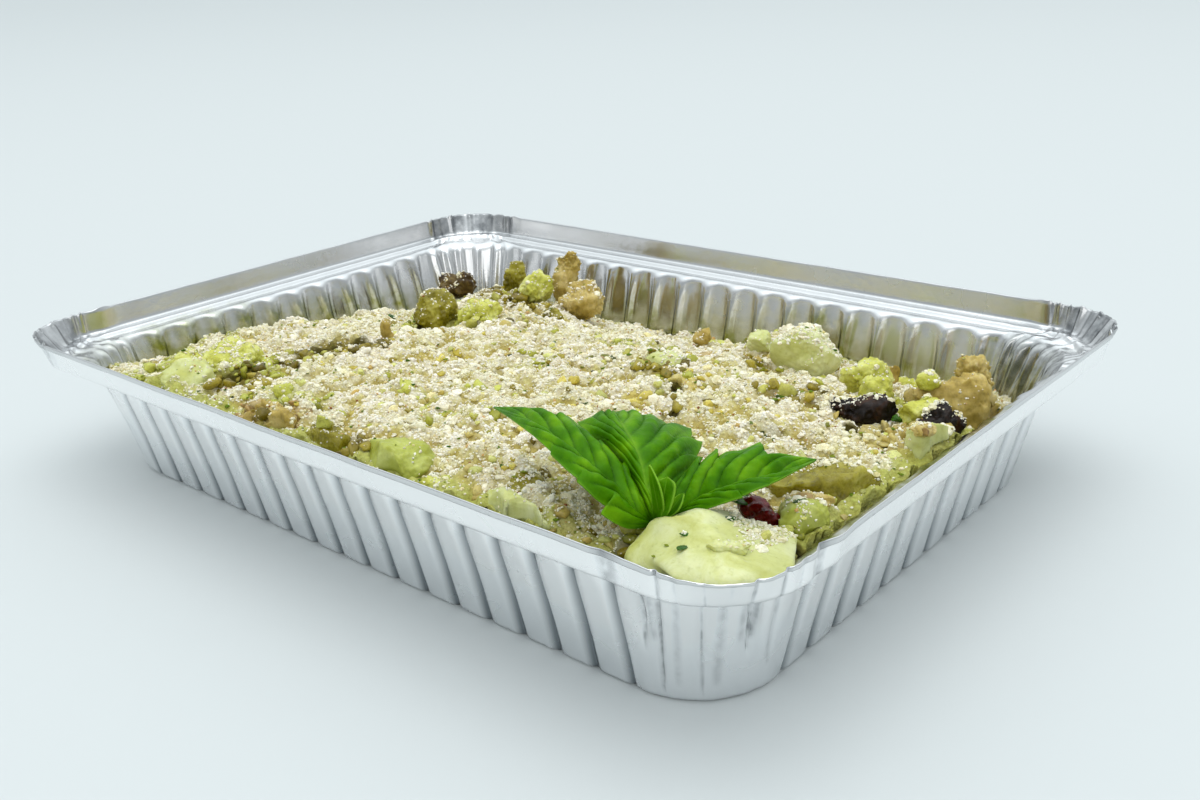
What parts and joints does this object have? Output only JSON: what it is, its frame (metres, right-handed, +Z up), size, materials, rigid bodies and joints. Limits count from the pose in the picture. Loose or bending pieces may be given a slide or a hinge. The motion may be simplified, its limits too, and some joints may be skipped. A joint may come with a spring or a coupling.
{
  "type": "foil tray meal",
  "caption": "Oblong fluted foil container with an upright hemmed rim, filled with a crumbed potato and vegetable salad and topped with a basil sprig.",
  "frame": {"origin": "the middle of the tray's footprint on the surface it stands on, the lowest level of the base", "axes": "+X along the tray's long side, towards the end with the basil; +Y along its short side; +Z up"},
  "size_m": [0.256, 0.1844, 0.0523],
  "materials": {
    "foil": "bright rolled household foil, pressed into flutes and lightly creased",
    "crumb": null,
    "potato": null,
    "courgette": null,
    "artichoke": null,
    "mushroom": null,
    "aubergine": null,
    "tomato": null,
    "basil": null
  },
  "bodies": {
    "root": {"foil_tray": "foil", "salad_bed": "crumb", "potato_near_corner": "potato", "potato_front_right": "potato", "potato_front_left": "potato", "potato_left_corner": "potato", "potato_far_side": "potato", "courgette_left": "courgette", "mushroom_front": "mushroom", "artichoke_front": "artichoke", "artichoke_by_basil": "artichoke", "artichoke_bar_right": "artichoke", "tomato_strip": "tomato", "potato_right_rim": "potato", "mushroom_torn_right": "mushroom", "mushroom_right_corner": "mushroom", "aubergine_left": "aubergine", "aubergine_right": "aubergine", "courgette_right_back": "courgette", "courgette_right_front": "courgette", "courgette_right_middle": "courgette", "potato_by_right_rim": "potato", "artichoke_upright_far": "artichoke", "mushroom_upright_far": "mushroom", "mushroom_far": "mushroom", "courgette_far": "courgette", "aubergine_far": "aubergine", "artichoke_far_left": "artichoke", "courgette_far_left": "courgette", "potato_middle": "potato", "basil_sprig": "basil"}
  },
  "joints": []
}
